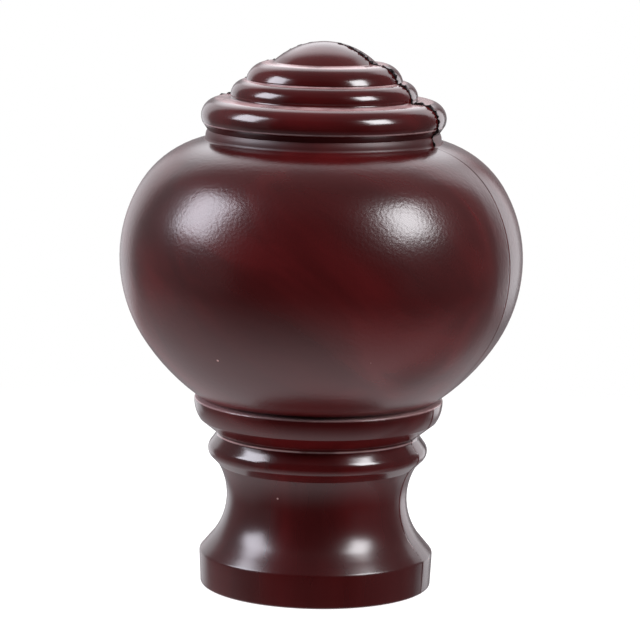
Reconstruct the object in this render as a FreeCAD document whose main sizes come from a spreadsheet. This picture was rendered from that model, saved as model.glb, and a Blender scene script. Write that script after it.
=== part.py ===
"""Curtain pole finial: one hollow moulding with a stepped, domed cap, a round ball and a turned base.

The base holds a round socket that slides over a curtain pole's end and opens into the hollow ball.
Millimetres. The origin is the centre of the foot's underside, and +Z runs up the axis.
"""
import FreeCAD, Part
import math
import os
import Sketcher

SIZES = {
    # The pole, the room it has in the socket and the shell round the ball, with its wall at the lower flank
    "pole_diameter": 28.0,
    "socket_clearance": 0.4,
    "socket_depth": 33.4,
    "socket_lead_in": 0.8,
    "shell_wall": 2.2,
    "flank_wall": 2.38051,
    # Base: how far each turned form stands out from the socket's wall
    "foot_wall": 6.55,
    "rim_wall": 6.85,
    "splay_wall": 4.3,
    "neck_wall": 2.05,
    "quirk_wall": 3.65,
    "bead_slope_wall": 4.9,
    "bead_wall": 5.5,
    "bead_top_wall": 5.15,
    "groove_wall": 4.1,
    "collar_root_wall": 4.15,
    "collar_knee_wall": 7.1,
    "collar_wall": 8.05,
    "collar_edge_wall": 8.1,
    "seat_wall": 6.7,
    # Base: the rise from each of those forms to the next, from the underside up
    "foot_height": 6.0,
    "splay_height": 3.05,
    "neck_lower_height": 6.95,
    "neck_upper_height": 6.0,
    "bead_slope_height": 1.3,
    "bead_lower_height": 1.6,
    "bead_upper_height": 0.85,
    "groove_height": 1.45,
    "collar_root_height": 0.7,
    "collar_slope_height": 2.35,
    "collar_lower_height": 2.45,
    "collar_edge_height": 1.3,
    # Ball: its widest place, how far its flank and shoulder lie inside that, and the rises between them
    "ball_diameter": 71.9,
    "ball_flank_middle_depth": 8.65,
    "ball_flank_depth": 3.85,
    "ball_shoulder_depth": 3.85,
    "ball_shoulder_middle_depth": 8.65,
    "ball_flank_lower_height": 5.4,
    "ball_flank_upper_height": 6.2,
    "ball_belly_lower_height": 13.8,
    "ball_belly_upper_height": 13.3,
    "ball_shoulder_lower_height": 4.95,
    "ball_shoulder_upper_height": 2.75,
    # The small lip round the ball's top and the crease between that lip and the cap
    "lip_root_diameter": 41.8,
    "lip_overhang": 0.05,
    "lip_lower_height": 0.7,
    "lip_upper_height": 1.0,
    "crease_diameter": 41.2,
    "crease_height": 1.3,
    # Cap: three rings, each with a rounded nose over its root, then a sloping ledge to the next
    "lower_ring_root_diameter": 43.04,
    "lower_ring_overhang": 0.26,
    "lower_ring_nose_middle_depth": 0.5,
    "lower_ring_nose_depth": 2.78,
    "lower_ring_undercut_height": 1.3,
    "lower_ring_nose_lower_height": 1.5,
    "lower_ring_nose_upper_height": 1.4,
    "lower_ring_ledge_rise": 0.1,
    "middle_ring_root_diameter": 32.8,
    "middle_ring_overhang": 0.2,
    "middle_ring_nose_middle_depth": 0.45,
    "middle_ring_nose_depth": 2.2,
    "middle_ring_undercut_height": 0.8,
    "middle_ring_nose_lower_height": 1.25,
    "middle_ring_nose_upper_height": 1.15,
    "middle_ring_ledge_rise": 0.1,
    "upper_ring_root_diameter": 27.64,
    "upper_ring_overhang": 0.03,
    "upper_ring_nose_middle_depth": 0.65,
    "upper_ring_nose_depth": 2.7,
    "upper_ring_undercut_height": 0.3,
    "upper_ring_nose_lower_height": 1.3,
    "upper_ring_nose_upper_height": 1.4,
    "upper_ring_ledge_rise": 0.25,
    "dome_diameter": 18.3,
    "dome_height": 3.65,
    # Rounds on the foot's two edges and the collar's upper one, and in the roots of the lip and the upper rings
    "foot_edge_round": 0.4,
    "rim_edge_round": 0.8,
    "collar_edge_round": 0.3,
    "lip_root_round": 0.7,
    "middle_ring_root_round": 0.4,
    "upper_ring_root_round": 0.2,
}

BASE_HEIGHTS = ["foot_height", "splay_height", "neck_lower_height", "neck_upper_height", "bead_slope_height",
                "bead_lower_height", "bead_upper_height", "groove_height", "collar_root_height",
                "collar_slope_height", "collar_lower_height", "collar_edge_height"]
BALL_LOWER_HEIGHTS = ["ball_flank_lower_height", "ball_flank_upper_height", "ball_belly_lower_height"]
BALL_UPPER_HEIGHTS = ["ball_belly_upper_height", "ball_shoulder_lower_height", "ball_shoulder_upper_height"]
LIP_HEIGHTS = ["lip_lower_height", "lip_upper_height", "crease_height"]
RINGS = ["lower_ring", "middle_ring", "upper_ring"]
LEDGE_ENDS = ["middle_ring_root_diameter", "upper_ring_root_diameter", "dome_diameter"]
RING_HEIGHTS = ["undercut_height", "nose_lower_height", "nose_upper_height", "ledge_rise"]

# How the sketcher numbers an edge's own vertices, its level and upright axes and its origin
START, END, CENTRE = range(1, 4)
LEVEL_AXIS, AXIS = range(-1, -3, -1)
ORIGIN = (LEVEL_AXIS, START)


def make_sheet(doc):
    """The driving dimensions, one row each, with the size's name as its alias."""
    sheet = doc.addObject("Spreadsheet::Sheet", "Sizes")
    for row, (alias, value) in enumerate(SIZES.items(), start=1):
        sheet.set(f"A{row}", alias)
        sheet.set(f"B{row}", str(value))
        sheet.setAlias(f"B{row}", alias)
    doc.recompute()
    return sheet


def size(name):
    """Expression for one size of the sheet."""
    return f"Sizes.{name}"


def total(names):
    """Expression for the sum of several sizes."""
    return " + ".join(size(name) for name in names)


def radius(diameter):
    """Expression for the radius that goes with a diameter of the sheet."""
    return f"{size(diameter)} / 2"


SOCKET_RADIUS = f"({size('pole_diameter')} + {size('socket_clearance')}) / 2"


def outside(wall):
    """Expression for a radius of the base: the socket's radius and the wall outside it."""
    return f"{SOCKET_RADIUS} + {size(wall)}"


def inside_ball(depth):
    """Expression for a radius of the ball that lies a depth inside its widest one."""
    return f"{radius('ball_diameter')} - {size(depth)}"


def ring_heights(ring):
    """Names of the rises that make up one ring of the cap."""
    return [f"{ring}_{height}" for height in RING_HEIGHTS]


def circle_centre(first, second, third):
    """Centre of the circle through three points of the sketch."""
    normal = (second - first).cross(third - first)
    along = second - first
    across = third - first
    offset = (normal.cross(along) * across.dot(across) + across.cross(normal) * along.dot(along))
    return first + offset / (2 * normal.dot(normal))


class Profile:
    """A closed chain of lines and arcs on the XZ plane, from the origin outwards, up and back to the axis.

    A point is given by two expressions, its radius and its rise above the point before it, and
    both become dimensions of the sketch that stay bound to the sheet.
    """

    def __init__(self, body, name):
        self.sketch = body.newObject("Sketcher::SketchObject", name)
        plane = next(item for item in body.Origin.OriginFeatures if item.Role == "XZ_Plane")
        self.sketch.AttachmentSupport = [(plane, "")]
        self.sketch.MapMode = "FlatFace"
        self.place = FreeCAD.Vector(0, 0, 0)
        self.vertex = ORIGIN

    def value(self, expression):
        return float(self.sketch.evalExpression(expression))

    def fix(self, *items):
        return self.sketch.addConstraint(Sketcher.Constraint(*items))

    def dimension(self, kind, first, second, expression):
        """A horizontal or vertical distance between two vertices, bound to an expression."""
        index = self.fix(kind, *first, *second, self.value(expression))
        name = f"{kind}_{index}"
        self.sketch.renameConstraint(index, name)
        self.sketch.setExpression(f"Constraints.{name}", expression)

    def next_place(self, distance, rise, origin=None):
        """The point at a radius, or on the axis where there is none, above the given or the last point."""
        base = self.place if origin is None else origin
        across = 0.0 if distance is None else self.value(distance)
        up = 0.0 if rise is None else self.value(rise)
        return FreeCAD.Vector(across, base.y + up, 0)

    def tie(self, vertex, distance, rise, base):
        """Dimensions of a vertex: its radius from the axis and its rise above the base vertex."""
        if distance is None:
            self.fix("PointOnObject", *vertex, AXIS)
        else:
            self.dimension("DistanceX", ORIGIN, vertex, distance)
        if rise is None:
            self.fix("Horizontal", *base, *vertex)
        else:
            self.dimension("DistanceY", base, vertex, rise)

    def move_on(self, first, last, place):
        self.fix("Coincident", *self.vertex, *first)
        self.vertex = last
        self.place = place

    def line(self, distance, rise):
        """Straight edge to the next point."""
        place = self.next_place(distance, rise)
        edge = self.sketch.addGeometry(Part.LineSegment(self.place, place), False)
        base = self.vertex
        self.move_on((edge, START), (edge, END), place)
        self.tie((edge, END), distance, rise, base)

    def add_arc(self, centre, place, turns_left):
        """Arc from the last point to a place. The edge itself always runs anticlockwise."""
        angles = [math.atan2(point.y - centre.y, point.x - centre.x) for point in (self.place, place)]
        low, high = angles if turns_left else reversed(angles)
        if high < low:
            high += 2 * math.pi
        circle = Part.Circle(centre, FreeCAD.Vector(0, 0, 1), (place - centre).Length)
        arc = self.sketch.addGeometry(Part.ArcOfCircle(circle, low, high), False)
        first, last = (START, END) if turns_left else (END, START)
        self.move_on((arc, first), (arc, last), place)
        return arc

    def arc_through(self, tip_distance, tip_rise, distance, rise):
        """Arc through a tip, given as a point is, to an end whose rise is measured from the tip."""
        base = self.vertex
        tip = self.next_place(tip_distance, tip_rise)
        place = self.next_place(distance, rise, tip)
        turns_left = (tip - self.place).cross(place - tip).z > 0
        arc = self.add_arc(circle_centre(self.place, tip, place), place, turns_left)
        point = (self.sketch.addGeometry(Part.Point(tip), True), START)
        self.fix("PointOnObject", *point, arc)
        self.tie(point, tip_distance, tip_rise, base)
        self.tie(self.vertex, distance, rise, point)

    def arc_level(self, distance, rise, upright_at_end):
        """Arc that stands upright at one end, because its centre is level with that end."""
        base = self.vertex
        place = self.next_place(distance, rise)
        level, far = (place, self.place) if upright_at_end else (self.place, place)
        drop = far.y - level.y
        across = (level.x ** 2 - far.x ** 2 - drop ** 2) / (2 * (level.x - far.x))
        arc = self.add_arc(FreeCAD.Vector(across, level.y, 0), place, True)
        upright = self.vertex if upright_at_end else base
        self.fix("Horizontal", arc, CENTRE, *upright)
        self.tie(self.vertex, distance, rise, base)

    def arc_to_axis(self, rise):
        """Arc that ends square to the axis, because its centre is on the axis."""
        base = self.vertex
        place = self.next_place(None, rise)
        drop = place.y - self.place.y
        arc_radius = (self.place.x ** 2 + drop ** 2) / (2 * drop)
        arc = self.add_arc(FreeCAD.Vector(0, place.y - arc_radius, 0), place, True)
        self.fix("PointOnObject", arc, CENTRE, AXIS)
        self.tie(self.vertex, None, rise, base)

    def close(self):
        """Straight edge down the axis to the origin."""
        edge = self.sketch.addGeometry(Part.LineSegment(self.place, FreeCAD.Vector(0, 0, 0)), False)
        self.move_on((edge, START), (edge, END), FreeCAD.Vector(0, 0, 0))
        self.fix("Coincident", edge, END, *ORIGIN)
        return self.sketch


def draw_base(profile):
    """Foot band, splayed neck, bead and collar, from the underside up to the ball's seat."""
    profile.line(outside("foot_wall"), None)
    profile.line(outside("rim_wall"), size("foot_height"))
    profile.line(outside("splay_wall"), size("splay_height"))
    profile.arc_through(outside("neck_wall"), size("neck_lower_height"),
                        outside("quirk_wall"), size("neck_upper_height"))
    profile.line(outside("bead_slope_wall"), size("bead_slope_height"))
    profile.arc_through(outside("bead_wall"), size("bead_lower_height"),
                        outside("bead_top_wall"), size("bead_upper_height"))
    profile.line(outside("groove_wall"), size("groove_height"))
    profile.line(outside("collar_root_wall"), size("collar_root_height"))
    profile.line(outside("collar_knee_wall"), size("collar_slope_height"))
    profile.arc_through(outside("collar_wall"), size("collar_lower_height"),
                        outside("collar_edge_wall"), size("collar_edge_height"))
    profile.line(outside("seat_wall"), None)


def draw_ball(profile):
    """Flank, belly and shoulder of the ball, from its seat on the collar to the lip."""
    profile.arc_through(inside_ball("ball_flank_middle_depth"), size("ball_flank_lower_height"),
                        inside_ball("ball_flank_depth"), size("ball_flank_upper_height"))
    profile.arc_level(radius("ball_diameter"), size("ball_belly_lower_height"), upright_at_end=True)
    profile.arc_level(inside_ball("ball_shoulder_depth"), size("ball_belly_upper_height"), upright_at_end=False)
    profile.arc_through(inside_ball("ball_shoulder_middle_depth"), size("ball_shoulder_lower_height"),
                        radius("lip_root_diameter"), size("ball_shoulder_upper_height"))


def draw_cap(profile):
    """Lip, crease, three stepped rings and the dome, from the top of the ball to the axis."""
    profile.arc_through(f"{radius('lip_root_diameter')} + {size('lip_overhang')}", size("lip_lower_height"),
                        radius("crease_diameter"), size("lip_upper_height"))
    profile.line(radius("lower_ring_root_diameter"), size("crease_height"))
    for ring, ledge_end in zip(RINGS, LEDGE_ENDS):
        tip = f"{radius(ring + '_root_diameter')} + {size(ring + '_overhang')}"
        profile.arc_level(tip, size(ring + "_undercut_height"), upright_at_end=True)
        profile.arc_through(f"{tip} - {size(ring + '_nose_middle_depth')}", size(ring + "_nose_lower_height"),
                            f"{tip} - {size(ring + '_nose_depth')}", size(ring + "_nose_upper_height"))
        profile.line(radius(ledge_end), size(ring + "_ledge_rise"))
    profile.arc_to_axis(size("dome_height"))


def draw_outer_form(body):
    """Half section of the outside, from the foot to the top of the dome."""
    profile = Profile(body, "OuterProfile")
    draw_base(profile)
    draw_ball(profile)
    draw_cap(profile)
    return profile.close()


def draw_hollow(body):
    """Half section of the inside: the pole's socket, the ball's cavity and the tapering space in the cap."""
    wall = size("shell_wall")
    throat = f"{radius('lip_root_diameter')} - {wall}"
    cap_heights = [height for ring in RINGS for height in ring_heights(ring)]
    to_first_ledge = LIP_HEIGHTS + cap_heights[:3]
    to_dome = cap_heights[3:]
    profile = Profile(body, "HollowProfile")
    profile.line(f"{SOCKET_RADIUS} + {size('socket_lead_in')}", None)
    profile.line(SOCKET_RADIUS, size("socket_lead_in"))
    profile.line(SOCKET_RADIUS, f"{size('socket_depth')} - {size('socket_lead_in')}")
    flank_level = total(BASE_HEIGHTS + BALL_LOWER_HEIGHTS[:1])
    profile.arc_through(f"{inside_ball('ball_flank_middle_depth')} - {size('flank_wall')}",
                        f"{flank_level} - {size('socket_depth')}",
                        f"{radius('ball_diameter')} - {wall}", total(BALL_LOWER_HEIGHTS[1:]))
    profile.arc_level(throat, f"{total(BALL_UPPER_HEIGHTS)} - {wall}", upright_at_end=False)
    profile.line(radius("middle_ring_root_diameter"), total(to_first_ledge))
    profile.line(f"{radius('dome_diameter')} - {wall}", total(to_dome))
    profile.arc_to_axis(size("dome_height"))
    return profile.close()


def turn(body, kind, name, sketch):
    """A feature that turns a half section once round the axis."""
    feature = body.newObject(kind, name)
    feature.Profile = (sketch, [""])
    feature.ReferenceAxis = (sketch, ["V_Axis"])
    feature.Angle = 360
    body.Document.recompute()
    return feature


def circle_edges(shape, edge_radius, level):
    """Names of the circular edges of a shape that have a given radius and height."""
    names = []
    for index, edge in enumerate(shape.Edges, start=1):
        if edge.Degenerated or not isinstance(edge.Curve, Part.Circle):
            continue
        same_radius = math.isclose(edge.Curve.Radius, edge_radius, abs_tol=1e-6)
        same_level = math.isclose(edge.Curve.Center.z, level, abs_tol=1e-6)
        if same_radius and same_level:
            names.append(f"Edge{index}")
    return names


def round_edge(body, name, edge_radius, level, round_size):
    """A fillet on the circular edge at a radius and a height, both given as expressions."""
    base = body.Tip
    places = [float(base.evalExpression(expression)) for expression in (edge_radius, level)]
    edges = circle_edges(base.Shape, *places)
    if not edges:
        raise RuntimeError(f"{name}: no edge to round")
    fillet = body.newObject("PartDesign::Fillet", name)
    fillet.Base = (base, edges)
    fillet.setExpression("Radius", size(round_size))
    body.Document.recompute()


def make_finial(doc):
    """The whole moulding as one body."""
    body = doc.addObject("PartDesign::Body", "FinialShell")
    body.Label = "finial_shell"
    outer = turn(body, "PartDesign::Revolution", "OuterForm", draw_outer_form(body))
    hollow = turn(body, "PartDesign::Groove", "Hollow", draw_hollow(body))
    if hollow.Shape.Volume >= outer.Shape.Volume:
        raise RuntimeError("the hollow cuts nothing")
    round_edge(body, "FootEdge", outside("foot_wall"), "0", "foot_edge_round")
    round_edge(body, "RimEdge", outside("rim_wall"), size("foot_height"), "rim_edge_round")
    round_edge(body, "CollarEdge", outside("collar_edge_wall"), total(BASE_HEIGHTS), "collar_edge_round")
    heights = BASE_HEIGHTS + BALL_LOWER_HEIGHTS + BALL_UPPER_HEIGHTS
    round_edge(body, "LipRoot", radius("lip_root_diameter"), total(heights), "lip_root_round")
    heights = heights + LIP_HEIGHTS
    for below, ring in zip(RINGS, RINGS[1:]):
        heights = heights + ring_heights(below)
        round_edge(body, f"{ring}_root", radius(f"{ring}_root_diameter"), total(heights), f"{ring}_root_round")
    body.Placement = FreeCAD.Placement()
    return body


def check(doc, bodies):
    """Stops before anything is written if an object failed or a solid is missing or broken."""
    for item in doc.Objects:
        if "Invalid" in item.State or "Error" in item.State:
            raise RuntimeError(f"{item.Name} failed: {item.State}")
    for body in bodies:
        if body.Shape.isNull() or not body.Shape.isValid() or len(body.Shape.Solids) != 1:
            raise RuntimeError(f"{body.Label} is not one valid solid")


def main():
    doc = FreeCAD.newDocument("CurtainPoleFinial")
    make_sheet(doc)
    bodies = [make_finial(doc)]
    doc.recompute()
    check(doc, bodies)
    os.makedirs("parts", exist_ok=True)
    for body in bodies:
        body.Shape.exportStep(f"parts/{body.Label}.step")


main()
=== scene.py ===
"""Curtain pole finial: a moulded, wood-look shell with its parting line and pinch-off scar, in a studio.

Metres. The frame's origin is the centre of the foot's underside, +Z runs up the axis and the mould parts on
the XZ plane.
"""

import math
import random

import bpy
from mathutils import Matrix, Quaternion, Vector

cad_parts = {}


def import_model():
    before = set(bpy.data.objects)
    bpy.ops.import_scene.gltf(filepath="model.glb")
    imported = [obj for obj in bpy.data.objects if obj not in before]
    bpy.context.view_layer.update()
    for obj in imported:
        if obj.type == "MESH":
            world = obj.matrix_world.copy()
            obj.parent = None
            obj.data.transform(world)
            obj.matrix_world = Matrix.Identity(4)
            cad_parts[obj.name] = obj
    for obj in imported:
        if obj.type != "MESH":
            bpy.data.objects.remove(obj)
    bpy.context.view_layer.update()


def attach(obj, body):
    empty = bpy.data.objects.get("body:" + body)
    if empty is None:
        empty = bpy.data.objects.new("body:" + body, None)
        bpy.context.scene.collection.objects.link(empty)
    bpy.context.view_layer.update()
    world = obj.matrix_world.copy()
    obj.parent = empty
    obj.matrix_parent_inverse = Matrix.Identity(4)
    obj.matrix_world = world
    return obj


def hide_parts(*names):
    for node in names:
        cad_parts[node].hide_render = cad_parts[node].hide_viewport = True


MM = 0.001
SHELL = "finial_shell"
# How near to the parting plane a vertex counts as on it, and how near two places count as one
ON_PLANE = 1e-7
TOUCHING = 1e-6

# Levels between the turned base, the ball and the cap
BALL_BOTTOM = 34.0 * MM
BALL_TOP = 80.4 * MM

# The camera as the photograph has it: direction, distance, lean of the picture and the point it looks at
VIEW_AZIMUTH = 23.7
VIEW_ELEVATION = 9.39
VIEW_DISTANCE = 592 * MM
VIEW_ROLL = 1.1
VIEW_TARGET = Vector((0, 0, 48 * MM))
LENS = 186

# Lamps: azimuth from the camera's own, elevation, distance, width, height, power and colour
SOFT_BOXES = {
    "soft_box_left": (-83, 32, 1.0, 0.46, 0.50, 10.2, (0.9, 0.9, 1.0)),
    "soft_box_right": (59, 37.5, 1.0, 0.36, 0.40, 9.9, (0.97, 0.97, 1.0)),
}
BOUNCES = {
    "floor_bounce": (-35, -76, 0.5, 0.7, 0.7, 5.2, (1.0, 1.0, 1.0)),
    "ceiling_bounce": (160, 72, 0.8, 0.8, 0.8, 3.0, (1.0, 1.0, 1.0)),
}
# Upright cards round the finial: azimuths from the camera's own, from and to, and brightness.
# Heights in the room are those of a direction's unit vector.
CARDS = [
    (-166, -138, 1.4),
    (-138, -52, 0.28),
    (45, 123, 0.18),
    (130, 155, 2.1),
]
CARD_SOFTNESS = 3
CARD_HEIGHTS = (-0.3, 0.75)
CARD_END_SOFTNESS = 0.1
# Brightness at the camera's side, and of the backdrop past an azimuth on either side
FRONT_LEVEL = 0.03
BACKDROP_EDGE = 162
BACKDROP_LEVEL = 0.4
# The ceiling: the heights between which it starts, and its brightness behind and in front
CEILING_HEIGHTS = (0.6, 0.85)
CEILING_FRONT_REACH = (-0.6, 0.4)
CEILING_LEVELS = (0.43, 0.13)
# The lit wall high behind the finial: where its middle is, how far it spreads and how bright it is there
BACK_WALL_ELEVATION = 40
BACK_WALL_SPREAD = (0.84, 0.97)
BACK_WALL_LEVEL = 3.0
# The white ground: the heights between which it brightens, how late it does so in front, and how much
# sooner behind and at the left
GROUND_HEIGHTS = (-0.2, -1.05)
GROUND_LEVEL = 1.15
GROUND_LAG = 0.75
LEAST_GROUND_LAG = 0.5
GROUND_LEAD_BEHIND = 1.5
GROUND_LEAD_LEFT = 0.25
# The part of the ground at the right that lies in shade
SHADE_AZIMUTHS = (92, 130)
SHADE_SOFTNESS = 8
SHADE_HEIGHTS = (-0.95, -0.85)
SHADE_LEVEL = 0.5
ROOM_TINT = (0.96, 0.96, 1.0, 1)

# Table top, the hair by which it lies under the foot and how far from the foot it shows a shadow
TABLE_RADIUS = 3.0
TABLE_SIDES = 64
TABLE_DROP = 0.05 * MM
TABLE_COLOUR = (0.8, 0.8, 0.8, 1)
SHADOW_END = 0.2
# Near the foot the camera sees a grey that takes the shadow, over a white glow
SHADOWED_COLOUR = (0.3, 0.3, 0.3, 1)
SHADOWED_GLOW = 0.85
WHITE = (1, 1, 1, 1)

# Columns of the shell on each side of a parting line and half widths of its relief, in millimetres from it
SEAM_COLUMNS = [-0.6, -0.35, -0.2, -0.07, 0.0, 0.07, 0.2, 0.35, 0.6]
GROOVE_DEPTH = 0.12 * MM
GROOVE_HALF_WIDTH = 0.2
RIDGE_HEIGHT = 0.1 * MM
RIDGE_FLAT_HALF_WIDTH = 0.2
RIDGE_HALF_WIDTH = 0.35
RIDGE_FADE = 3 * MM
SMALLEST_SEAM_RADIUS = 5 * MM
PLAIN_COLUMNS = 240
SEAM_MARGIN = math.radians(7.5)
SHELL_SHARP_ANGLE = math.radians(14)

# Finish: colour by the share of red, and the colours of its flecks, of its painted pale highlight lines along
# the edges and of the almost black scar
WOOD_COLOURS = [
    (0.34, (0.032, 0.0023, 0.0025)),
    (0.50, (0.046, 0.0033, 0.0036)),
    (0.66, (0.068, 0.0049, 0.0054)),
]
SPECK_COLOUR = (0.35, 0.2, 0.19, 1)
# Pale colour of the painted highlight lines along the edges
PAINTED_HIGHLIGHT_COLOUR = (0.42, 0.26, 0.26, 1)
# The scar is coloured almost black, much darker than the finish round it
SCAR_COLOUR = (0.010, 0.003, 0.003, 1)
TORN_ROUGHNESS = 0.6
# Streaks per metre, along and across the grain, their slant on the ball and their contrast on the base
BALL_STREAKS = (14, 85)
BASE_STREAKS = (14, 110)
STREAK_SLANT = math.radians(35)
BASE_CONTRAST = 0.8
BASE_DARKEST = 0.03
STREAK_BLEND = 6 * MM
# Flecks: cells per metre, a fleck's size in its cell and the share of cells that have none
SPECK_CELLS = 190
SPECK_SIZE = 0.035
SPECKLESS_SHARE = 0.86
# Roughness of the foot and neck, then of all above, and what the ball and the lip add to it
SATIN_ROUGHNESS = 0.25
GLOSS_ROUGHNESS = 0.17
SATIN_END = 18 * MM
GLOSS_START = 22 * MM
BALL_DULLNESS = 0.09
LIP_DULLNESS = 0.3
LIP_HEIGHT = 2.6 * MM
LIP_SOFTNESS = 0.2 * MM
# Orange peel: its cells per metre, depth and strength, on the ball and everywhere
PEEL_CELLS = 1700
PEEL_DEPTH = 0.1 * MM
PEEL_ON_BALL = 0.24
PEEL_EVERYWHERE = 0.02
PEEL_START = 1 * MM
PEEL_FADE = 2 * MM

# Heights of the painted pale highlight lines that stand for edge glints, each with half its width: over the
# bead, at the collar's top, where the line is wide enough to paint over the dark crease, under the lowest
# ring and on the three ledges of the cap. The painted highlight is broken into patches, so many per metre.
PAINTED_HIGHLIGHT_LINES = [
    (27.5 * MM, 0.25 * MM),
    (34.0 * MM, 0.35 * MM),
    (83.4 * MM, 0.25 * MM),
    (87.65 * MM, 0.2 * MM),
    (90.95 * MM, 0.2 * MM),
    (94.12 * MM, 0.25 * MM),
]
PAINTED_HIGHLIGHT_PATCHES = 120
PAINTED_HIGHLIGHT_LEAST = 0.3

# Pinch-off scar: a thin torn fin along the parting line, over the cap alone. It fades towards the dome's top
# and is lower on the far side.
SCAR_STEP = 0.32 * MM
SCAR_ROOT = 0.3 * MM
SCAR_HEIGHT = 0.6 * MM
SCAR_THICKNESS = 0.5 * MM
SCAR_START_RADIUS = 2.0 * MM
SCAR_FULL_RADIUS = 9 * MM
SCAR_LEAST_HEIGHT = 0.15
SCAR_LEAST_THICKNESS = 0.4
FAR_SCAR_SHARE = 0.7
SCAR_SMOOTHING = 3
SCAR_SEED = 7
SCAR_SHARP_ANGLE = math.radians(30)


def direction(azimuth, elevation):
    """Unit vector towards an azimuth and an elevation in degrees; azimuth 0 is towards -Y."""
    turn, rise = math.radians(azimuth), math.radians(elevation)
    return Vector((math.sin(turn) * math.cos(rise), -math.cos(turn) * math.cos(rise), math.sin(rise)))


def read_outline(node):
    """The shell's half section as the frame has it: (radius, height) from inside the dome to its top."""
    mesh = node.data
    on_seam = {}
    for vertex in mesh.vertices:
        place = node.matrix_world @ vertex.co
        if abs(place.y) < ON_PLANE and place.x > -ON_PLANE:
            on_seam[vertex.index] = (round(max(place.x, 0.0), 7), round(place.z, 7))
    links = {}
    for edge in mesh.edges:
        ends = [on_seam.get(index) for index in edge.vertices]
        if None not in ends and ends[0] != ends[1]:
            links.setdefault(ends[0], set()).add(ends[1])
            links.setdefault(ends[1], set()).add(ends[0])
    chain = [min((point for point in links if len(links[point]) == 1), key=lambda point: point[1])]
    while True:
        onward = [point for point in links[chain[-1]] if point not in chain[-2:-1]]
        if not onward:
            return chain
        chain.append(onward[0])


def split_outline(chain):
    """The chain's inside and outside, parted at the outer edge of the foot's flat underside."""
    lowest = max(index for index, point in enumerate(chain) if point[1] < TOUCHING)
    return chain[:lowest], chain[lowest:]


def seam_relief(distance, height):
    """How far the surface stands out at a height, and at a distance in millimetres from the parting line."""
    if height < BALL_BOTTOM:
        slope_width = RIDGE_HALF_WIDTH - RIDGE_FLAT_HALF_WIDTH
        across = max(0.0, 1 - max(0.0, abs(distance) - RIDGE_FLAT_HALF_WIDTH) / slope_width)
        return RIDGE_HEIGHT * across * min(1.0, height / RIDGE_FADE)
    if height < BALL_TOP:
        return -GROOVE_DEPTH * max(0.0, 1 - abs(distance) / GROOVE_HALF_WIDTH)
    return 0.0


def column_places():
    """Every column of the shell as an angle and a distance: plain ones by angle, a seam's by its offset."""
    places = []
    for seam in (0.0, math.pi):
        places += [(seam, offset) for offset in SEAM_COLUMNS]
        count = PLAIN_COLUMNS // 2
        for index in range(count + 1):
            angle = seam + SEAM_MARGIN + (math.pi - 2 * SEAM_MARGIN) * index / count
            places.append((angle, None))
    return places


def column_row(columns, radius, height, relief):
    """One ring of the shell's vertices."""
    row = []
    for angle, offset in columns:
        out = radius
        if offset is not None:
            angle += offset * MM / max(radius, SMALLEST_SEAM_RADIUS)
            out += seam_relief(offset, height) if relief else 0.0
        row.append((out * math.cos(angle), out * math.sin(angle), height))
    return row


def add_piece(name, vertices, faces, material):
    """A mesh object with one material, joined to the object's one body."""
    mesh = bpy.data.meshes.new(name)
    mesh.from_pydata(vertices, [], faces)
    mesh.materials.append(material)
    mesh.polygons.foreach_set("use_smooth", [True] * len(mesh.polygons))
    piece = bpy.data.objects.new(name, mesh)
    bpy.context.scene.collection.objects.link(piece)
    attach(piece, "root")
    return piece


def make_shell(inside, outside, material):
    """The whole shell turned from its half section, with the parting line's relief on the outside."""
    columns = column_places()
    count = len(columns)
    vertices, rows = [], []
    for points, relief in ((inside, False), (outside, True)):
        for radius, height in points:
            if radius < TOUCHING:
                rows.append([len(vertices)] * count)
                vertices.append((0.0, 0.0, height))
            else:
                rows.append(range(len(vertices), len(vertices) + count))
                vertices += column_row(columns, radius, height, relief)
    faces = []
    for low, high in zip(rows, rows[1:]):
        for index in range(count):
            after = (index + 1) % count
            corners = (low[index], low[after], high[after], high[index])
            faces.append(tuple(dict.fromkeys(corners)))
    shell = add_piece("finial", vertices, faces, material)
    shell.data.set_sharp_from_angle(angle=SHELL_SHARP_ANGLE)
    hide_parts(SHELL)
    return shell


def resample(points, step):
    """Evenly spaced points along a chain."""
    even, left = [Vector(points[0])], step
    for first, second in zip(points, points[1:]):
        first, second = Vector(first), Vector(second)
        length = (second - first).length
        while left <= length:
            even.append(first.lerp(second, left / length))
            left += step
        left -= length
    return even


def smooth(values, reach):
    """Running mean of a chain of vectors."""
    made = []
    for index in range(len(values)):
        near = values[max(0, index - reach):index + reach + 1]
        made.append(sum(near, Vector((0, 0))) / len(near))
    return made


def scar_path(outside):
    """Root, torn edge and half thickness of the scar in the half section, from the ball's top to the dome."""
    cap = [point for point in outside if point[1] > BALL_TOP - TOUCHING and point[0] > SCAR_START_RADIUS]
    path = resample(cap, SCAR_STEP)
    ways = [after - before for before, after in zip(path, path[2:])]
    ways = [ways[0]] + ways + [ways[-1]]
    normals = smooth([Vector((way.y, -way.x)).normalized() for way in ways], SCAR_SMOOTHING)
    chance = random.Random(SCAR_SEED)
    places = []
    for point, normal in zip(path, normals):
        fade = min(1.0, point.x / SCAR_FULL_RADIUS)
        reach = SCAR_HEIGHT * chance.uniform(SCAR_LEAST_HEIGHT, 1.0) * fade
        half = SCAR_THICKNESS / 2 * chance.uniform(SCAR_LEAST_THICKNESS, 1.0)
        places.append((point - normal * SCAR_ROOT, point + normal * reach, half))
    return places


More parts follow.
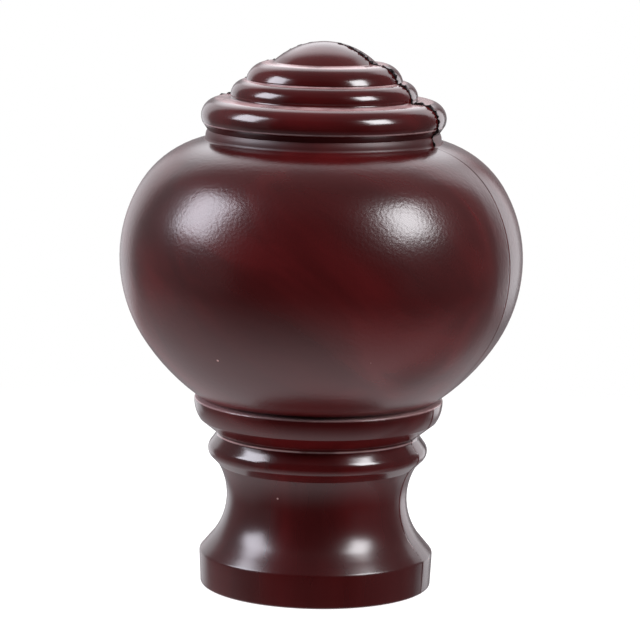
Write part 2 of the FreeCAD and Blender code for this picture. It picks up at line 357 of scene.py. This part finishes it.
def make_scar(outside, material):
    """The scar's fin on both sides of the cap, lower on the far one."""
    places = scar_path(outside)
    vertices, faces = [], []
    for side, share in ((1, 1.0), (-1, FAR_SCAR_SHARE)):
        start = len(vertices)
        for root, edge, half in places:
            for point in (root, root.lerp(edge, share)):
                vertices += [(side * point.x, half, point.y), (side * point.x, -half, point.y)]
        for index in range(len(places) - 1):
            near = start + 4 * index
            far = near + 4
            for first, second in ((0, 2), (2, 3), (3, 1), (1, 0)):
                faces.append((near + first, near + second, far + second, far + first))
        last = len(vertices) - 4
        faces += [(start, start + 1, start + 3, start + 2), (last, last + 2, last + 3, last + 1)]
    scar = add_piece("pinch_off_scar", vertices, faces, material)
    scar.data.set_sharp_from_angle(angle=SCAR_SHARP_ANGLE)
    return scar


class Nodes:
    """Short way to add and join a material's or a world's nodes."""

    def __init__(self, owner):
        owner.use_nodes = True
        self.tree = owner.node_tree
        self.tree.nodes.clear()

    def add(self, kind, inputs=(), **settings):
        """A node with its settings, whose inputs are joined to a socket or set to a value."""
        node = self.tree.nodes.new(kind)
        for name, value in settings.items():
            setattr(node, name, value)
        for name, value in dict(inputs).items():
            if isinstance(value, bpy.types.NodeSocket):
                self.tree.links.new(value, node.inputs[name])
            else:
                node.inputs[name].default_value = value
        return node

    def math(self, operation, first, second=0.0):
        return self.add("ShaderNodeMath", {0: first, 1: second}, operation=operation).outputs[0]

    def span(self, value, low, high, to_low=0.0, to_high=1.0):
        """A value's smooth share between two levels."""
        inputs = {"Value": value, "From Min": low, "From Max": high, "To Min": to_low, "To Max": to_high}
        return self.add("ShaderNodeMapRange", inputs, interpolation_type="SMOOTHSTEP").outputs[0]

    def band(self, value, low, high, soft):
        """1 between two levels, with soft edges."""
        inside = self.span(value, high - soft, high + soft, 1.0, 0.0)
        return self.math("MULTIPLY", self.span(value, low - soft, low + soft), inside)

    def along(self, way, axis):
        """How far a direction points along an axis."""
        return self.add("ShaderNodeVectorMath", {0: way, 1: axis}, operation="DOT_PRODUCT").outputs["Value"]

    def noise(self, place, scale, detail, distortion=0.0):
        inputs = {"Vector": place, "Scale": scale, "Detail": detail, "Distortion": distortion}
        return self.add("ShaderNodeTexNoise", inputs).outputs["Fac"]

    def mix(self, share, first, second):
        """Mix of two colours."""
        inputs = {"Factor": share, "A": first, "B": second}
        return self.add("ShaderNodeMix", inputs, data_type="RGBA").outputs["Result"]

    def ramp(self, value, stops):
        """Colour by value, from (position, colour) pairs."""
        node = self.add("ShaderNodeValToRGB", {"Fac": value})
        elements = node.color_ramp.elements
        while len(elements) < len(stops):
            elements.new(0.5)
        for element, (position, colour) in zip(elements, stops):
            element.position = position
            element.color = (*colour, 1)
        return node.outputs["Color"]


def wood_streaks(nodes, place, height):
    """Share of red in the finish: smoky slanting streaks on the ball and upright ones on the base."""
    along, across = BALL_STREAKS
    slanted = nodes.add("ShaderNodeMapping", {
        "Vector": place,
        "Rotation": (0, STREAK_SLANT, math.radians(VIEW_AZIMUTH)),
        "Scale": (1 / along, 1 / across, 1 / across),
    }, vector_type="TEXTURE")
    along, across = BASE_STREAKS
    upright = nodes.add("ShaderNodeMapping", {"Vector": place, "Scale": (across, across, along)})
    ball = nodes.noise(slanted.outputs[0], 1.0, 6.0, 0.6)
    base = nodes.noise(upright.outputs[0], 1.0, 3.0, 0.3)
    base = nodes.math("ADD", nodes.math("MULTIPLY", base, BASE_CONTRAST), BASE_DARKEST)
    share = nodes.span(height, BALL_BOTTOM - STREAK_BLEND, BALL_BOTTOM)
    return nodes.add("ShaderNodeMix", {"Factor": share, "A": base, "B": ball}).outputs["Result"]


def specks(nodes, place):
    """Sparse pale flecks of dust in the finish."""
    cells = nodes.add("ShaderNodeTexVoronoi", {"Vector": place, "Scale": SPECK_CELLS})
    near = nodes.math("LESS_THAN", cells.outputs["Distance"], SPECK_SIZE)
    red = nodes.add("ShaderNodeSeparateColor", {"Color": cells.outputs["Color"]}).outputs["Red"]
    return nodes.math("MULTIPLY", near, nodes.math("GREATER_THAN", red, SPECKLESS_SHARE))


def gloss_of_forms(nodes, height):
    """Roughness of the turned forms: satin on the foot and the neck, glossy above, dull on the lip."""
    satin = nodes.span(height, SATIN_END, GLOSS_START, SATIN_ROUGHNESS, GLOSS_ROUGHNESS)
    on_lip = nodes.band(height, BALL_TOP, BALL_TOP + LIP_HEIGHT, LIP_SOFTNESS)
    return nodes.math("ADD", satin, nodes.math("MULTIPLY", on_lip, LIP_DULLNESS))


def painted_edge_highlights(nodes, place, height):
    """Share of the painted pale highlight lines along the edges and over the collar's dark crease, in
    patches.
    """
    share = 0.0
    for level, half_width in PAINTED_HIGHLIGHT_LINES:
        away = nodes.math("ABSOLUTE", nodes.math("SUBTRACT", height, level))
        share = nodes.math("MAXIMUM", share, nodes.span(away, 0.0, half_width, 1.0, 0.0))
    patches = nodes.span(nodes.noise(place, PAINTED_HIGHLIGHT_PATCHES, 3.0), 0.3, 0.5, PAINTED_HIGHLIGHT_LEAST, 1.0)
    return nodes.math("MULTIPLY", share, patches)


def wood_look():
    """Satin-gloss dark mahogany finish, with a fine orange-peel grain on the ball."""
    material = bpy.data.materials.new("wood_look_plastic")
    nodes = Nodes(material)
    place = nodes.add("ShaderNodeTexCoord").outputs["Object"]
    height = nodes.add("ShaderNodeSeparateXYZ", {"Vector": place}).outputs["Z"]
    colour = nodes.ramp(wood_streaks(nodes, place, height), WOOD_COLOURS)
    # Pale highlight lines painted along the edges and over the collar's dark crease
    colour = nodes.mix(painted_edge_highlights(nodes, place, height), colour, PAINTED_HIGHLIGHT_COLOUR)
    colour = nodes.mix(specks(nodes, place), colour, SPECK_COLOUR)
    rise = nodes.span(height, BALL_BOTTOM - PEEL_START, BALL_BOTTOM + PEEL_FADE)
    fall = nodes.span(height, BALL_TOP - PEEL_FADE, BALL_TOP, 1.0, 0.0)
    on_ball = nodes.math("MULTIPLY", rise, fall)
    dullness = nodes.math("MULTIPLY", on_ball, BALL_DULLNESS)
    bump = nodes.add("ShaderNodeBump", {
        "Strength": nodes.math("ADD", nodes.math("MULTIPLY", on_ball, PEEL_ON_BALL), PEEL_EVERYWHERE),
        "Distance": PEEL_DEPTH,
        "Height": nodes.noise(place, PEEL_CELLS, 1.0),
    })
    surface = nodes.add("ShaderNodeBsdfPrincipled", {
        "Base Color": colour,
        "Roughness": nodes.math("ADD", gloss_of_forms(nodes, height), dullness),
        "Normal": bump.outputs["Normal"],
    })
    nodes.add("ShaderNodeOutputMaterial", {"Surface": surface.outputs[0]})
    return material


def scar_look():
    """The scar's almost black finish."""
    material = bpy.data.materials.new("almost_black_scar")
    nodes = Nodes(material)
    surface = nodes.add("ShaderNodeBsdfPrincipled", {"Base Color": SCAR_COLOUR, "Roughness": TORN_ROUGHNESS})
    nodes.add("ShaderNodeOutputMaterial", {"Surface": surface.outputs[0]})
    return material


def table_look():
    """White table: pure white for the camera, with a faint shadow round the foot, and clear from below."""
    material = bpy.data.materials.new("white_table")
    nodes = Nodes(material)
    place = nodes.add("ShaderNodeTexCoord").outputs["Object"]
    away = nodes.add("ShaderNodeVectorMath", {0: place}, operation="LENGTH").outputs["Value"]
    seen = nodes.add("ShaderNodeLightPath").outputs["Is Camera Ray"]
    matt = nodes.add("ShaderNodeBsdfDiffuse", {"Color": TABLE_COLOUR}).outputs[0]
    faint = nodes.add("ShaderNodeBsdfDiffuse", {"Color": SHADOWED_COLOUR}).outputs[0]
    glow = nodes.add("ShaderNodeEmission", {"Color": WHITE, "Strength": SHADOWED_GLOW}).outputs[0]
    white = nodes.add("ShaderNodeEmission", {"Color": WHITE, "Strength": 1.0}).outputs[0]
    shadowed = nodes.add("ShaderNodeAddShader", {0: faint, 1: glow}).outputs[0]
    far = nodes.span(away, SHADOW_END / 2, SHADOW_END)
    shown = nodes.add("ShaderNodeMixShader", {"Fac": far, 1: shadowed, 2: white}).outputs[0]
    surface = nodes.add("ShaderNodeMixShader", {"Fac": seen, 1: matt, 2: shown}).outputs[0]
    below = nodes.add("ShaderNodeNewGeometry").outputs["Backfacing"]
    clear = nodes.add("ShaderNodeBsdfTransparent").outputs[0]
    surface = nodes.add("ShaderNodeMixShader", {"Fac": below, 1: surface, 2: clear}).outputs[0]
    nodes.add("ShaderNodeOutputMaterial", {"Surface": surface})
    return material


def make_table():
    """A round white table top, which the camera sees and the finial's gloss doesn't."""
    mesh = bpy.data.meshes.new("table")
    rim = [direction(360 * index / TABLE_SIDES, 0) * TABLE_RADIUS for index in range(TABLE_SIDES)]
    mesh.from_pydata(rim, [], [range(TABLE_SIDES)])
    mesh.materials.append(table_look())
    table = bpy.data.objects.new("table", mesh)
    table.location.z = -TABLE_DROP
    bpy.context.scene.collection.objects.link(table)
    table.visible_glossy = False
    table.visible_diffuse = False
    table.visible_shadow = False


def towards(nodes, way, turn):
    """How far a direction points towards a level one, given by its azimuth from the camera's own."""
    return nodes.along(way, direction(VIEW_AZIMUTH + turn, 0))


def wall_light(nodes, azimuth, rise):
    """Brightness of the upright cards and of the backdrop between them, up to the top of the cards."""
    behind = nodes.math("ABSOLUTE", azimuth)
    edge = (BACKDROP_EDGE - CARD_SOFTNESS, BACKDROP_EDGE + CARD_SOFTNESS)
    light = nodes.span(behind, *edge, FRONT_LEVEL, BACKDROP_LEVEL)
    for low, high, level in CARDS:
        card = nodes.math("MULTIPLY", nodes.band(azimuth, low, high, CARD_SOFTNESS), level)
        light = nodes.math("MAXIMUM", light, card)
    return nodes.math("MULTIPLY", light, nodes.band(rise, *CARD_HEIGHTS, CARD_END_SOFTNESS))


def ground_light(nodes, way, azimuth, rise, level):
    """Brightness of the white ground: it grows with depth, late in front and early at the left and behind."""
    back, left = (nodes.math("DIVIDE", towards(nodes, way, turn), level) for turn in (180, -90))
    start, full = GROUND_HEIGHTS
    depth = nodes.add("ShaderNodeMapRange", {"Value": rise, "From Min": start, "From Max": full}).outputs[0]
    lead_behind = nodes.math("MULTIPLY", back, GROUND_LEAD_BEHIND)
    lead_left = nodes.math("MULTIPLY", left, GROUND_LEAD_LEFT)
    lag = nodes.math("SUBTRACT", GROUND_LAG, nodes.math("ADD", lead_behind, lead_left))
    lag = nodes.math("MAXIMUM", lag, LEAST_GROUND_LAG)
    light = nodes.math("MULTIPLY", nodes.math("POWER", depth, lag), GROUND_LEVEL)
    shade = nodes.band(azimuth, *SHADE_AZIMUTHS, SHADE_SOFTNESS)
    shade = nodes.math("MULTIPLY", shade, nodes.span(rise, *SHADE_HEIGHTS))
    return nodes.math("MULTIPLY", light, nodes.span(shade, 0.0, 1.0, 1.0, SHADE_LEVEL))


def room_light(nodes):
    """Brightness of the room by direction: almost black at the camera's side, cards, a pale ground."""
    way = nodes.add("ShaderNodeTexCoord").outputs["Generated"]
    rise = nodes.add("ShaderNodeSeparateXYZ", {"Vector": way}).outputs["Z"]
    level = nodes.math("SQRT", nodes.math("SUBTRACT", 1.0, nodes.math("MULTIPLY", rise, rise)))
    level = nodes.math("MAXIMUM", level, 0.01)
    front, right = (towards(nodes, way, turn) for turn in (0, 90))
    azimuth = nodes.math("DEGREES", nodes.math("ARCTAN2", right, front))
    ceiling = nodes.span(front, *CEILING_FRONT_REACH, *CEILING_LEVELS)
    ceiling = nodes.math("MULTIPLY", nodes.span(rise, *CEILING_HEIGHTS), ceiling)
    middle = nodes.along(way, direction(VIEW_AZIMUTH + 180, BACK_WALL_ELEVATION))
    back_wall = nodes.span(middle, *BACK_WALL_SPREAD, 0.0, BACK_WALL_LEVEL)
    light = nodes.math("MAXIMUM", ceiling, back_wall)
    light = nodes.math("MAXIMUM", light, wall_light(nodes, azimuth, rise))
    return nodes.math("MAXIMUM", light, ground_light(nodes, way, azimuth, rise, level))


def make_world():
    """The room as the finial's gloss shows it, and plain white for the camera."""
    world = bpy.data.worlds.new("studio")
    bpy.context.scene.world = world
    nodes = Nodes(world)
    seen = nodes.add("ShaderNodeLightPath").outputs["Is Camera Ray"]
    level = nodes.add("ShaderNodeMix", {"Factor": seen, "A": room_light(nodes), "B": 1.0}).outputs["Result"]
    tint = nodes.mix(seen, ROOM_TINT, WHITE)
    surface = nodes.add("ShaderNodeBackground", {"Color": tint, "Strength": level})
    nodes.add("ShaderNodeOutputWorld", {"Surface": surface.outputs[0]})


def make_lights(lamps, in_gloss):
    """Area lamps that are turned to the finial's middle, and that its gloss shows or doesn't."""
    for name, (azimuth, elevation, distance, width, height, power, colour) in lamps.items():
        lamp = bpy.data.lights.new(name, "AREA")
        lamp.shape = "RECTANGLE"
        lamp.size = width
        lamp.size_y = height
        lamp.energy = power
        lamp.color = colour
        out = direction(VIEW_AZIMUTH + azimuth, elevation)
        light = bpy.data.objects.new(name, lamp)
        light.location = VIEW_TARGET + out * distance
        light.rotation_mode = "QUATERNION"
        light.rotation_quaternion = out.to_track_quat("Z", "Y")
        light.visible_camera = False
        light.visible_glossy = in_gloss
        bpy.context.scene.collection.objects.link(light)


def make_camera():
    """The photograph's camera, closer in on the one finial."""
    out = direction(VIEW_AZIMUTH, VIEW_ELEVATION)
    data = bpy.data.cameras.new("camera")
    data.lens = LENS
    data.clip_start = 0.01
    camera = bpy.data.objects.new("camera", data)
    camera.location = VIEW_TARGET + out * VIEW_DISTANCE
    camera.rotation_mode = "QUATERNION"
    roll = Quaternion((0, 0, 1), math.radians(VIEW_ROLL))
    camera.rotation_quaternion = out.to_track_quat("Z", "Y") @ roll
    bpy.context.scene.collection.objects.link(camera)
    bpy.context.scene.camera = camera


def main():
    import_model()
    bpy.context.scene.view_settings.view_transform = "Standard"
    inside, outside = split_outline(read_outline(bpy.data.objects[SHELL]))
    make_shell(inside, outside, wood_look())
    make_scar(outside, scar_look())
    make_table()
    make_world()
    make_lights(SOFT_BOXES, in_gloss=True)
    make_lights(BOUNCES, in_gloss=False)
    make_camera()


main()
